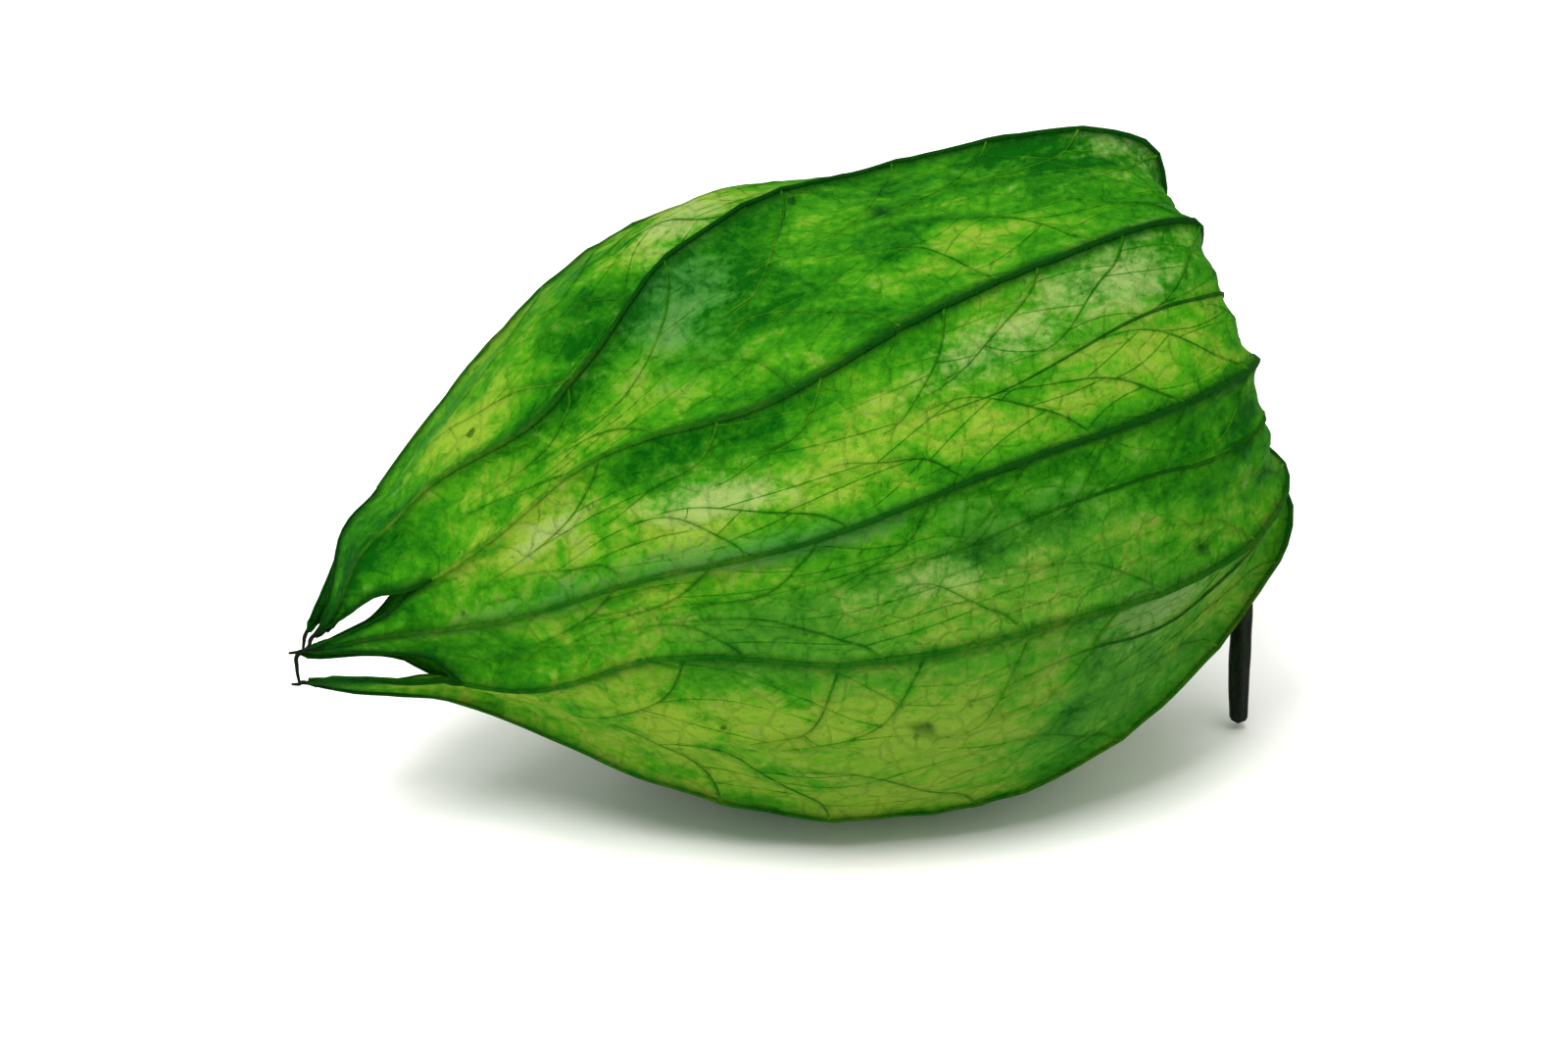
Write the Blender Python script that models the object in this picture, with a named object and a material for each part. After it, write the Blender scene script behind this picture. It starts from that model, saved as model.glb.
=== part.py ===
"""A preserved physalis husk lying on its side, with its stalk.

The husk is the plant's dry calyx, one papery bladder. Ten ribs run from the sunken seat of the
stalk to the far end, where the husk parts into five pointed lobes with open slits between them.
Finer veins branch off the ribs and join in a net. The stalk leaves the seat, bends over and
hangs to the surface. Lengths are in metres, +Z is up, and the lobes point to -X.
"""

import bisect
import math
import random

import bmesh
import bpy
from mathutils import Vector, noise

MM = 0.001

# The husk's size, and how it lies
HUSK_LENGTH = 46.0 * MM
HUSK_RADIUS = 15.0 * MM
WALL = 0.7 * MM
AXIS_DIP = math.radians(14.7)
FLAT_DEPTH = 0.9 * MM

# How far the middle of the husk strays above or below its straight axis: share of the length, height
BEND_AT = (0.0, 0.25, 0.5, 0.7, 0.85, 1.0)
BEND = [height * MM for height in (0.2, -1.8, -0.4, 1.1, 2.6, 2.5)]

# The outside's half outline, from the stalk's seat over the shoulder to the lobes' points:
# distance from the shoulder as a share of the length, and radius as a share of the widest
OUTLINE = (
    (0.150, 0.000),
    (0.147, 0.075),
    (0.110, 0.165),
    (0.050, 0.290),
    (0.004, 0.450),
    (-0.008, 0.590),
    (0.006, 0.685),
    (0.050, 0.785),
    (0.120, 0.875),
    (0.240, 0.970),
    (0.380, 1.030),
    (0.500, 1.000),
    (0.600, 0.905),
    (0.700, 0.730),
    (0.790, 0.520),
    (0.860, 0.350),
    (0.920, 0.232),
    (0.965, 0.165),
    (1.000, 0.090),
)
OUTLINE_STEPS = 12
OUTLINE_REACH = 0.4 * MM

# Where the slits between the lobes begin, as a share of the length: one of the outline's corners
SINUS = 0.860

# Ribs: five run to the lobes' points, and five between them run to the slits. They rise to their
# full height over a first stretch out of the stalk's seat
RIBS = 10
RIB_TURN = 2 * math.pi / RIBS
FIRST_RIB = math.radians(24.0)
MAIN_RIB_HEIGHT = 0.45 * MM
SLIT_RIB_HEIGHT = 0.34 * MM
MID_VEIN_HEIGHT = 0.20 * MM
RIB_RISE = 10.0 * MM

# How far each rib strays from its even place round the husk, in degrees, at these shares of the length
STRAY_AT = (0.0, 0.25, 0.5, 0.7, 0.86, 1.0)
RIB_STRAY = (
    (-6, 4, 0, -2, -14, -9),
    (2, 1, -10, -8, -24, -28),
    (5, 14, -4, -26, -22, -46),
    (2, 0, -6, -12, -7, -32),
    (0, 2, 3, 2, -6, -8),
    (-2, 1, 4, 0, 0, -4),
    (3, 0, -2, 2, -2, -13),
    (-2, -6, -6, -6, -12, -20),
    (0, -2, -4, -4, -4, -12),
    (-14, 7, 11, 14, -16, 4),
)

# Each panel between two ribs bows inwards (positive) or outwards, at the shoulder and on the body.
# The spans are the shares of the length that the two bows cover
SHOULDER_BOW = [bow * MM for bow in (-0.1, 0.5, 0.9, 0.7, 0.9, 0.6, 0.8, 0.7, 0.5, 0.5)]
PANEL_BOW = [bow * MM for bow in (0.5, 0.9, -0.4, 0.6, -0.1, 0.5, 0.4, 0.2, 0.1, 0.5)]
SHOULDER_SPAN = (-0.12, 0.3)
BODY_SPAN = (0.1, 1.0)

# Soft dents all over: height, size, stretch along the husk, and the share of the length at the
# lobes' points over which they fade
WRINKLE = 0.35 * MM
WRINKLE_SIZE = 7.0 * MM
WRINKLE_STRETCH = 0.6
WRINKLE_FADE = 0.1

# Bows and dents both start over this stretch out of the stalk's seat
SEAT_CALM = 8.0 * MM

# A deep crease runs beside one rib, where the next panel tucks in under it
CREASE_RIB = 2
CREASE_DEPTH = 0.9 * MM
CREASE_FROM, CREASE_TO = 0.40, 0.80
CREASE_WIDTH = 0.42

# The net of veins: chevrons that rise from the ribs towards the lobes
VEIN_PITCH = 5.0 * MM
VEIN_COUNT = 9
VEIN_FROM = 13.5 * MM
VEIN_SLANT = 3.4 * MM
VEIN_HEIGHTS = (0.0, 0.08 * MM, 0.12 * MM, 0.16 * MM)
VEIN_SEED = 11

# Before the slits the chevrons level out over one stretch, and the last row keeps off by another
VEIN_LEVELLING = 2.2 * VEIN_PITCH
LAST_ROW_GAP = 0.5 * MM

# How finely the faces follow that: columns in each panel, as shares of it, and rows in each pitch
RIDGE_HALF = 0.062
PANEL_COLUMNS = (0.0, RIDGE_HALF, 0.21, 0.5 - RIDGE_HALF, 0.5, 0.5 + RIDGE_HALF, 0.79, 1 - RIDGE_HALF)
INNER_COLUMNS = (0.0, 0.25, 0.5, 0.75)
PITCH_ROWS = (0.0, 0.11, 0.5, 0.89)
SEAT_ROWS = [row * MM for row in (0.9, 2.0, 3.8, 5.8, 7.8, 9.8, 11.6)]
INNER_ROW_STEP = 2.2 * MM

# The lobes. The slits open over the first share of their length, and no slit takes more than
# SLIT_SHARE of the room between two ribs. Each lobe swells outwards over one span of its length,
# and its point flares outwards (positive) or inwards over another
LOBES = 5
LOBE_ROWS = (0.14, 0.32, 0.52, 0.72, 0.88)
LOBE_COLUMNS = (-1.0, -0.62, -0.3, -0.09, 0.0, 0.09, 0.3, 0.62, 1.0)
LOBE_INNER_COLUMNS = (-1.0, -0.4, 0.4, 1.0)
SLIT_WIDTHS = [width * MM for width in (1.5, 1.0, 0.8, 1.5, 1.6)]
SLIT_OPENING = 0.45
SLIT_SHARE = 0.62
LOBE_SWELL = [swell * MM for swell in (0.0, 0.8, 0.4, 0.0, 0.2)]
SWELL_SPAN = (0.0, 0.8)
TIP_FLARE = [flare * MM for flare in (0.1, -1.1, -0.8, 0.1, 0.6)]
FLARE_SPAN = (0.1, 1.0)
SAME_PLACE = 1e-6

# The stalk, with its flared seat and its cut end
STALK_RADIUS = 0.5 * MM
STALK_SEAT_RADIUS = 0.72 * MM
STALK_NECK_RADIUS = 0.575 * MM
STALK_CUT_RADIUS = 0.42 * MM
STALK_GAP = 0.38 * MM
STALK_STEPS = 3
STALK_BEVEL = 2

# Its way: out of the seat by so much along the axis, then over the shoulder and down to the foot,
# all measured from the shoulder's middle: towards the stalk's end, away from the viewer, upwards
STALK_NECK = 1.2 * MM
STALK_OUT = 3.5 * MM
STALK_WAY = [Vector(point) * MM for point in (
    (0.4, 0.9, -0.6),
    (2.2, 2.2, -1.5),
    (3.0, 3.0, -3.8),
    (3.1, 3.1, -7.0),
    (3.1, 2.5, -10.5),
)]

# The foot stands on the surface, measured from below the shoulder's middle
STALK_LAST = [Vector(point) * MM for point in ((2.5, 0.4, 5.55), (1.9, -1.0, 2.55))]
STALK_FOOT = Vector((1.6, -1.8, 0.15)) * MM

HUSK_GREEN = (0.13, 0.34, 0.03, 1.0)
STALK_GREEN = (0.012, 0.028, 0.008, 1.0)

AXIS = Vector((-math.cos(AXIS_DIP), 0.0, -math.sin(AXIS_DIP)))
FRONT = Vector((0.0, -1.0, 0.0))
UP = Vector((-math.sin(AXIS_DIP), 0.0, math.cos(AXIS_DIP)))


def clear_scene():
    for thing in list(bpy.data.objects):
        bpy.data.objects.remove(thing)


def smooth_step(low, high, value):
    share = min(1.0, max(0.0, (value - low) / (high - low)))
    return share * share * (3 - 2 * share)


def bump(low, high, value):
    """Rises from 0 at low to 1 midway, and falls to 0 at high."""
    share = min(1.0, max(0.0, (value - low) / (high - low)))
    return math.sin(math.pi * share) ** 2


def curve_value(places, values, place):
    """The value, at this place, of a smooth curve through the values at those places."""
    i = min(max(bisect.bisect_right(places, place) - 1, 0), len(places) - 2)
    width = places[i + 1] - places[i]
    slopes = []
    for k in (i, i + 1):
        a, b = max(k - 1, 0), min(k + 1, len(places) - 1)
        slopes.append((values[b] - values[a]) / (places[b] - places[a]) * width)
    t = min(1.0, max(0.0, (place - places[i]) / width))
    rise = t * t * (3 - 2 * t)
    lean = slopes[0] * t * (1 - t) ** 2 - slopes[1] * t * t * (1 - t)
    return values[i] * (1 - rise) + values[i + 1] * rise + lean


def spline_through(points, steps):
    """A smooth curve (Catmull-Rom) through the points, as a list of points."""
    ends = [2 * points[0] - points[1], *points, 2 * points[-1] - points[-2]]
    curve = []
    for a, b, c, d in zip(ends, ends[1:], ends[2:], ends[3:]):
        for step in range(steps):
            t = step / steps
            curve.append(
                0.5 * (2 * b + (c - a) * t + (2 * a - 5 * b + 4 * c - d) * t**2
                       + (3 * b - a - 3 * c + d) * t**3)
            )
    return [*curve, points[-1]]


class Meridian:
    """The half outline, read by the distance travelled along it from the stalk's seat."""

    def __init__(self):
        corners = [Vector((s * HUSK_LENGTH, r * HUSK_RADIUS)) for s, r in OUTLINE]
        self.points = spline_through(corners, OUTLINE_STEPS)
        self.travelled = [0.0]
        for a, b in zip(self.points, self.points[1:]):
            self.travelled.append(self.travelled[-1] + (b - a).length)
        self.length = self.travelled[-1]
        sinus_index = OUTLINE_STEPS * [s for s, _ in OUTLINE].index(SINUS)
        self.sinus = self.travelled[sinus_index]

    def at(self, travel):
        """(distance along the axis, radius) after this much travel."""
        i = min(max(bisect.bisect_right(self.travelled, travel) - 1, 0), len(self.points) - 2)
        share = (travel - self.travelled[i]) / (self.travelled[i + 1] - self.travelled[i])
        return self.points[i].lerp(self.points[i + 1], min(1.0, max(0.0, share)))

    def normal(self, travel):
        """The outline's outward direction, as (along the axis, away from the axis)."""
        ahead = self.at(min(travel + OUTLINE_REACH, self.length))
        way = ahead - self.at(max(travel - OUTLINE_REACH, 0.0))
        return Vector((-way.y, way.x)).normalized()


MERIDIAN = Meridian()


def rib_turn(rib, along):
    """A rib's true angle round the axis, at this share of the length."""
    stray = curve_value(STRAY_AT, RIB_STRAY[rib % RIBS], along)
    return FIRST_RIB + rib * RIB_TURN + math.radians(stray)


def true_turn(turn, along):
    """The true angle of a place that lies at this angle when the ribs are even."""
    place = (turn - FIRST_RIB) / RIB_TURN
    rib = math.floor(place)
    share = place - rib
    return rib_turn(rib, along) * (1 - share) + rib_turn(rib + 1, along) * share


def panel_bow(turn, along):
    """How far the skin lies inside the ribs' crests."""
    place = ((turn - FIRST_RIB) / RIB_TURN) % RIBS
    panel, share = int(place) % RIBS, place % 1.0
    rounded = 1 - (1 - 2 * min(share, 1 - share)) ** 2
    shoulder = SHOULDER_BOW[panel] * bump(*SHOULDER_SPAN, along)
    body = PANEL_BOW[panel] * bump(*BODY_SPAN, along)
    crease = CREASE_DEPTH * bump(CREASE_FROM, CREASE_TO, along) * bump(0.0, CREASE_WIDTH, share)
    return rounded * (shoulder + body) + (crease if panel == CREASE_RIB else 0.0)


def wrinkle(turn, along):
    """Soft dents all over, longer along the husk than round it."""
    height = along * HUSK_LENGTH / HUSK_RADIUS * WRINKLE_STRETCH
    here = Vector((math.cos(turn), math.sin(turn), height)) * HUSK_RADIUS / WRINKLE_SIZE
    return WRINKLE * noise.noise(here) * smooth_step(0.0, WRINKLE_FADE, 1 - along)


def skin_point(turn, travel, lift=0.0):
    """A point of the skin, at this angle round the axis and this travel along the outline, then
    lifted by so much."""
    outline = MERIDIAN.at(travel)
    slope = MERIDIAN.normal(travel)
    along = outline.x / HUSK_LENGTH
    lift += smooth_step(0.0, SEAT_CALM, travel) * (wrinkle(turn, along) - panel_bow(turn, along))
    angle = true_turn(turn, along)
    outward = FRONT * math.cos(angle) + UP * math.sin(angle)
    middle = AXIS * (outline.x + lift * slope.x) + UP * curve_value(BEND_AT, BEND, along)
    return middle + outward * (outline.y + lift * slope.y)


def rib_height(column):
    """The crest on this column of faces: a main rib, a slit's rib, a panel's middle vein or none."""
    panel, share = divmod(column, len(PANEL_COLUMNS))
    if share == 0:
        return MAIN_RIB_HEIGHT if panel % 2 == 0 else SLIT_RIB_HEIGHT
    return MID_VEIN_HEIGHT if PANEL_COLUMNS[share] == 0.5 else 0.0


def column_turn(column, columns):
    panel, share = divmod(column, len(columns))
    return FIRST_RIB + (panel + columns[share]) * RIB_TURN


def slant(turn):
    """How far the vein rows have climbed between the ribs at this angle."""
    share = ((turn - FIRST_RIB) / RIB_TURN) % 1.0
    return VEIN_SLANT * (1 - abs(2 * share - 1))


def outer_rows():
    """(travel, number of the vein that crests there, or None) for each row up to the slits."""
    rows = [(travel, None) for travel in SEAT_ROWS]
    for vein in range(VEIN_COUNT):
        for share in PITCH_ROWS:
            travel = VEIN_FROM + (vein + share) * VEIN_PITCH
            if travel < MERIDIAN.sinus - LAST_ROW_GAP:
                rows.append((travel, vein if share == 0.0 else None))
    return rows


def skew_share(travel):
    """The rows lean into chevrons on the body, and run level at the seat and at the slits."""
    start = smooth_step(SEAT_ROWS[-1], VEIN_FROM + VEIN_PITCH, travel)
    return start * smooth_step(0.0, VEIN_LEVELLING, MERIDIAN.sinus - travel)


def vein_heights():
    """A height for each vein in each half panel, some of them missing."""
    draw = random.Random(VEIN_SEED)
    return [[draw.choice(VEIN_HEIGHTS) for _ in range(2 * RIBS)] for _ in range(VEIN_COUNT)]


def outer_ring(mesh, travel, vein, heights):
    ring = []
    columns = RIBS * len(PANEL_COLUMNS)
    for column in range(columns):
        turn = column_turn(column, PANEL_COLUMNS)
        here = travel + slant(turn) * skew_share(travel)
        crest = rib_height(column) * smooth_step(0.0, RIB_RISE, travel)
        if vein is not None:
            half = int(2 * column / len(PANEL_COLUMNS)) % (2 * RIBS)
            crest = max(crest, heights[vein][half])
        ring.append((turn, mesh.verts.new(skin_point(turn, here, crest))))
    return [*ring, (ring[0][0] + 2 * math.pi, ring[0][1])]


def inner_ring(mesh, travel):
    ring = []
    for column in range(RIBS * len(INNER_COLUMNS)):
        turn = column_turn(column, INNER_COLUMNS)
        ring.append((turn, mesh.verts.new(skin_point(turn, travel, -WALL))))
    return [*ring, (ring[0][0] + 2 * math.pi, ring[0][1])]


def bridge(mesh, low, high, inward=False):
    """Triangles between two rows of (place, vertex), whose places rise the same way."""
    i = j = 0
    while i < len(low) - 1 or j < len(high) - 1:
        if j == len(high) - 1 or (i < len(low) - 1 and low[i + 1][0] <= high[j + 1][0]):
            corners = [low[i][1], low[i + 1][1], high[j][1]]
            i += 1
        else:
            corners = [low[i][1], high[j + 1][1], high[j][1]]
            j += 1
        if len(set(corners)) == len(corners):
            mesh.faces.new(corners[::-1] if inward else corners)


def lobe_half_turn(lobe, share, side):
    """The angle from a lobe's midrib to its edge on one side, when the ribs are even."""
    outline = MERIDIAN.at(MERIDIAN.sinus + share * (MERIDIAN.length - MERIDIAN.sinus))
    along = outline.x / HUSK_LENGTH
    next_rib = 2 * lobe + (1 if side > 0 else -1)
    room = abs(rib_turn(next_rib, along) - rib_turn(2 * lobe, along)) * outline.y
    half_slit = 0.5 * SLIT_WIDTHS[(lobe + (side > 0)) % LOBES]
    half_slit *= smooth_step(0.0, SLIT_OPENING, share)
    return RIB_TURN * (1 - min(half_slit / room, SLIT_SHARE))


def lobe_row(mesh, lobe, share, columns, lift):
    """One row across a lobe, each as (place from -1 to 1, vertex)."""
    midrib = FIRST_RIB + 2 * lobe * RIB_TURN
    travel = MERIDIAN.sinus + share * (MERIDIAN.length - MERIDIAN.sinus)
    flare = LOBE_SWELL[lobe] * bump(*SWELL_SPAN, share)
    flare += TIP_FLARE[lobe] * smooth_step(*FLARE_SPAN, share)
    row = []
    for column in columns:
        turn = midrib + column * lobe_half_turn(lobe, share, column)
        crest = MAIN_RIB_HEIGHT * (1 - share) if column == 0.0 and lift >= 0 else 0.0
        row.append((column, mesh.verts.new(skin_point(turn, travel, lift + flare + crest))))
    return row


def ring_span(ring, lobe):
    """The part of a closed ring that carries this lobe, as (place from -1 to 1, vertex)."""
    midrib = FIRST_RIB + 2 * lobe * RIB_TURN
    span = []
    for lap in (-2 * math.pi, 0.0, 2 * math.pi):
        for turn, vertex in ring[:-1]:
            place = (turn + lap - midrib) / RIB_TURN
            if abs(place) < 1 + SAME_PLACE:
                span.append((place, vertex))
    return span


def add_lobe(mesh, lobe, outer_start, inner_start):
    """One pointed lobe: its outer and inner faces, and the two edges that close it."""
    outer = [ring_span(outer_start, lobe)]
    inner = [ring_span(inner_start, lobe)]
    for share in LOBE_ROWS:
        outer.append(lobe_row(mesh, lobe, share, LOBE_COLUMNS, 0.0))
        inner.append(lobe_row(mesh, lobe, share, LOBE_INNER_COLUMNS, -WALL))
    outer.append(lobe_row(mesh, lobe, 1.0, (0.0,), 0.0))
    inner.append(lobe_row(mesh, lobe, 1.0, (0.0,), -WALL))
    for k in range(len(outer) - 1):
        bridge(mesh, outer[k], outer[k + 1])
        bridge(mesh, inner[k], inner[k + 1], inward=True)
        for side in (0, -1):
            edge = [outer[k][side][1], outer[k + 1][side][1], inner[k + 1][side][1], inner[k][side][1]]
            mesh.faces.new(edge if side == 0 else edge[::-1])


def seat_on_surface(mesh, inner_vertices):
    """Sets the husk on the surface, presses its belly flat there, and returns how far it moved up."""
    raised = -min(vertex.co.z for vertex in mesh.verts) - FLAT_DEPTH
    bmesh.ops.translate(mesh, verts=mesh.verts, vec=(0, 0, raised))
    for vertex in mesh.verts:
        floor = WALL if vertex in inner_vertices else 0.0
        vertex.co.z = max(vertex.co.z, floor)
    return raised


def build_husk():
    """The husk as one shell, with the vertices of its inner face."""
    mesh = bmesh.new()
    heights = vein_heights()
    seat = mesh.verts.new(skin_point(0.0, 0.0))
    outer = [[(FIRST_RIB, seat)]]
    for travel, vein in outer_rows():
        outer.append(outer_ring(mesh, travel, vein, heights))
    outer.append(outer_ring(mesh, MERIDIAN.sinus, None, heights))
    outer_vertices = set(mesh.verts)

    inner_seat = mesh.verts.new(skin_point(0.0, 0.0, -WALL))
    inner = [[(FIRST_RIB, inner_seat)]]
    inner_count = round(MERIDIAN.sinus / INNER_ROW_STEP)
    for row in range(1, inner_count + 1):
        inner.append(inner_ring(mesh, MERIDIAN.sinus * row / inner_count))
    inner_vertices = set(mesh.verts) - outer_vertices

    for k in range(len(outer) - 1):
        bridge(mesh, outer[k], outer[k + 1])
    for k in range(len(inner) - 1):
        bridge(mesh, inner[k], inner[k + 1], inward=True)
    for lobe in range(LOBES):
        add_lobe(mesh, lobe, outer[-1], inner[-1])
    return mesh, inner_vertices


def new_material(name, colour, roughness):
    material = bpy.data.materials.new(name)
    material.use_nodes = True
    shader = material.node_tree.nodes["Principled BSDF"]
    shader.inputs["Base Color"].default_value = colour
    shader.inputs["Roughness"].default_value = roughness
    shader.inputs["Metallic"].default_value = 0.0
    return material


def add_husk():
    """Adds the husk, and returns it with the height that it was raised by."""
    mesh, inner_vertices = build_husk()
    raised = seat_on_surface(mesh, inner_vertices)
    data = bpy.data.meshes.new("husk")
    mesh.to_mesh(data)
    mesh.free()
    data.shade_smooth()
    data.materials.append(new_material("husk_green", HUSK_GREEN, 0.6))
    husk = bpy.data.objects.new("husk", data)
    bpy.context.collection.objects.link(husk)
    return husk, raised


def add_stalk(raised):
    """The stalk: a tube from the husk's seat, over the shoulder and down to the surface."""
    lift = Vector((0, 0, raised))
    seat = skin_point(0.0, 0.0) + lift
    route = [
        (seat - AXIS * STALK_GAP, STALK_SEAT_RADIUS),
        (seat - AXIS * STALK_NECK, STALK_NECK_RADIUS),
        (seat - AXIS * STALK_OUT, STALK_RADIUS),
        *((lift + point, STALK_RADIUS) for point in STALK_WAY),
        *((point, STALK_RADIUS) for point in STALK_LAST),
        (STALK_FOOT, STALK_CUT_RADIUS),
    ]
    middles = spline_through([point for point, _ in route], STALK_STEPS)
    radii = spline_through([Vector((radius, 0.0)) for _, radius in route], STALK_STEPS)
    curve = bpy.data.curves.new("stalk", "CURVE")
    curve.dimensions = "3D"
    curve.bevel_depth = 1.0
    curve.bevel_resolution = STALK_BEVEL
    curve.use_fill_caps = True
    spline = curve.splines.new("POLY")
    spline.points.add(len(middles) - 1)
    for point, middle, radius in zip(spline.points, middles, radii):
        point.co = (*middle, 1.0)
        point.radius = radius.x
    curve.materials.append(new_material("stalk_green", STALK_GREEN, 0.55))
    stalk = bpy.data.objects.new("stalk", curve)
    bpy.context.collection.objects.link(stalk)
    return stalk


def centre_over_origin(things):
    """Moves the whole object so that its box's bottom centre is the origin."""
    bpy.context.view_layer.update()
    corners = [thing.matrix_world @ Vector(corner) for thing in things for corner in thing.bound_box]
    middle = [(min(c[k] for c in corners) + max(c[k] for c in corners)) / 2 for k in range(2)]
    for thing in things:
        thing.location -= Vector((*middle, 0.0))


def main():
    clear_scene()
    husk, raised = add_husk()
    stalk = add_stalk(raised)
    centre_over_origin([husk, stalk])


main()
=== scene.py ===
"""A preserved physalis husk lying on its side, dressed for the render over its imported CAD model."""

import bisect
import math
import random

import bpy
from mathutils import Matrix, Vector, kdtree, noise


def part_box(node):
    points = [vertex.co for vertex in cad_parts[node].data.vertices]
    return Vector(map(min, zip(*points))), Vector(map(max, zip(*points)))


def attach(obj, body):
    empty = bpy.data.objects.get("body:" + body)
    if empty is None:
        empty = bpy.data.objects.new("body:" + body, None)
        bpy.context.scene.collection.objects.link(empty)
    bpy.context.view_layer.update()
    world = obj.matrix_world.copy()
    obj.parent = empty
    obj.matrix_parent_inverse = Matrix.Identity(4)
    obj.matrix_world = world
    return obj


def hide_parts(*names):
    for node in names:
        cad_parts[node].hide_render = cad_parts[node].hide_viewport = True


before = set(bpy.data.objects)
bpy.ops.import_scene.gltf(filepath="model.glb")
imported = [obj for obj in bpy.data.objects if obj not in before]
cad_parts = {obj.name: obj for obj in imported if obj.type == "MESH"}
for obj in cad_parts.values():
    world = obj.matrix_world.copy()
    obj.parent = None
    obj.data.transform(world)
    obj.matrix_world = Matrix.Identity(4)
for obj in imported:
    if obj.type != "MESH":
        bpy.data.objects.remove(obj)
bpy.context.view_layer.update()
bpy.ops.object.select_all(action="DESELECT")

# The husk's skin: the plant's dry calyx, a bladder of thin dyed paper-like tissue, grown as one.
# A grid is rolled up round the husk's axis, lifted along ten ribs and dented between them, parted
# into five lobes at the far end, and given its wall.
MM = 0.001
HUSK_LENGTH = 46.0 * MM
HUSK_RADIUS = 15.0 * MM
SKIN_WALL = 0.26 * MM
AXIS_DIP = math.radians(14.7)
FLAT_DEPTH = 0.9 * MM

# Height of the husk's middle over its straight axis, at these shares of the length
BEND_AT = (0.0, 0.25, 0.5, 0.7, 0.85, 1.0)
BEND = [height * MM for height in (0.2, -1.8, -0.4, 1.1, 2.6, 2.5)]

# Half outline from the stalk's seat over the shoulder to the points: share of length, of radius
OUTLINE = (
    (0.150, 0.000), (0.147, 0.075), (0.110, 0.165), (0.050, 0.290), (0.004, 0.450),
    (-0.008, 0.590), (0.006, 0.685), (0.050, 0.785), (0.120, 0.875), (0.240, 0.970),
    (0.380, 1.030), (0.500, 1.000), (0.600, 0.905), (0.700, 0.730), (0.790, 0.520),
    (0.860, 0.350), (0.920, 0.232), (0.965, 0.165), (1.000, 0.090),
)
OUTLINE_STEPS = 12

# The share of the length from which the lobes may part
SINUS = 0.860

RIBS = 10
RIB_TURN = 2 * math.pi / RIBS
FIRST_RIB = math.radians(24.0)
MAIN_RIB_HEIGHT = 0.45 * MM
SLIT_RIB_HEIGHT = 0.34 * MM
RIB_SPREAD = 0.50 * MM

# How far each rib strays round the husk, in degrees, at these shares of the length
STRAY_AT = (0.0, 0.25, 0.5, 0.7, 0.86, 1.0)
RIB_STRAY = (
    (-6, 4, 0, -2, -14, -9), (2, 1, -10, -8, -24, -28), (5, 14, -4, -26, -22, -46),
    (2, 0, -6, -12, -7, -32), (0, 2, 3, 2, -6, -8), (-2, 1, 4, 0, 0, -4),
    (3, 0, -2, 2, -2, -13), (-2, -6, -6, -6, -12, -20), (0, -2, -4, -4, -4, -12),
    (-14, 7, 11, 14, -16, 4),
)

# How far each panel between two ribs sinks in, near the shoulder and over its length. A span says
# where a form starts and ends, in shares of the husk's length, a panel's width or a lobe's length
SHOULDER_BOW = [bow * MM for bow in (-0.1, 0.5, 0.9, 0.7, 0.9, 0.6, 0.8, 0.7, 0.5, 0.5)]
SHOULDER_SPAN = (-0.12, 0.3)
PANEL_BOW = [bow * MM for bow in (0.5, 0.9, -0.4, 0.6, -0.1, 0.5, 0.4, 0.2, 0.1, 0.5)]
PANEL_SPAN = (0.1, 1.0)
DENT = 0.35 * MM
DENT_SIZE = 7.0 * MM
DENT_STRETCH = 0.6
CRINKLE = 0.13 * MM
CRINKLE_SIZE = 2.4 * MM
CREASE_PANEL = 2
CREASE_DEPTH = 0.9 * MM
CREASE_SPAN = (0.40, 0.80)
CREASE_WIDTH_SPAN = (0.0, 0.42)

# How far from the seat each form has its full height
CRINKLE_RISE = 6.0 * MM
PANEL_RISE = 8.0 * MM
RIB_RISE = 10.0 * MM

LOBES = 5
SLIT_WIDTHS = [width * MM for width in (1.5, 1.0, 0.8, 1.5, 1.6)]
SLIT_OPENING = ((0.0, 0.26), (0.14, 0.45), (0.0, 0.45), (0.0, 0.45), (0.0, 0.45))
SLIT_SHARE = 0.62
LOBE_SWELL = [swell * MM for swell in (0.0, 0.8, 0.4, 0.0, 0.2)]
SWELL_SPAN = (0.0, 0.8)
TIP_FLARE = [flare * MM for flare in (0.1, -1.1, -0.8, 0.1, 0.6)]
FLARE_SPAN = (0.1, 1.0)
POINT_SHARE = 0.12

LOBE_COLUMNS = 49
BODY_ROWS = 112
LOBE_ROWS = 20

AXIS = Vector((-math.cos(AXIS_DIP), 0.0, -math.sin(AXIS_DIP)))
FRONT = Vector((0.0, -1.0, 0.0))
UP = Vector((-math.sin(AXIS_DIP), 0.0, math.cos(AXIS_DIP)))


def smooth_step(low, high, value):
    share = min(1.0, max(0.0, (value - low) / (high - low)))
    return share * share * (3 - 2 * share)


def bump(low, high, value):
    """Rises from 0 at low to 1 midway, and falls to 0 at high."""
    share = min(1.0, max(0.0, (value - low) / (high - low)))
    return math.sin(math.pi * share) ** 2


def curve_value(places, values, place):
    """The value, at this place, of a smooth curve through the values at those places."""
    i = min(max(bisect.bisect_right(places, place) - 1, 0), len(places) - 2)
    width = places[i + 1] - places[i]
    slopes = []
    for k in (i, i + 1):
        a, b = max(k - 1, 0), min(k + 1, len(places) - 1)
        slopes.append((values[b] - values[a]) / (places[b] - places[a]) * width)
    t = min(1.0, max(0.0, (place - places[i]) / width))
    rise = t * t * (3 - 2 * t)
    lean = slopes[0] * t * (1 - t) ** 2 - slopes[1] * t * t * (1 - t)
    return values[i] * (1 - rise) + values[i + 1] * rise + lean


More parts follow.
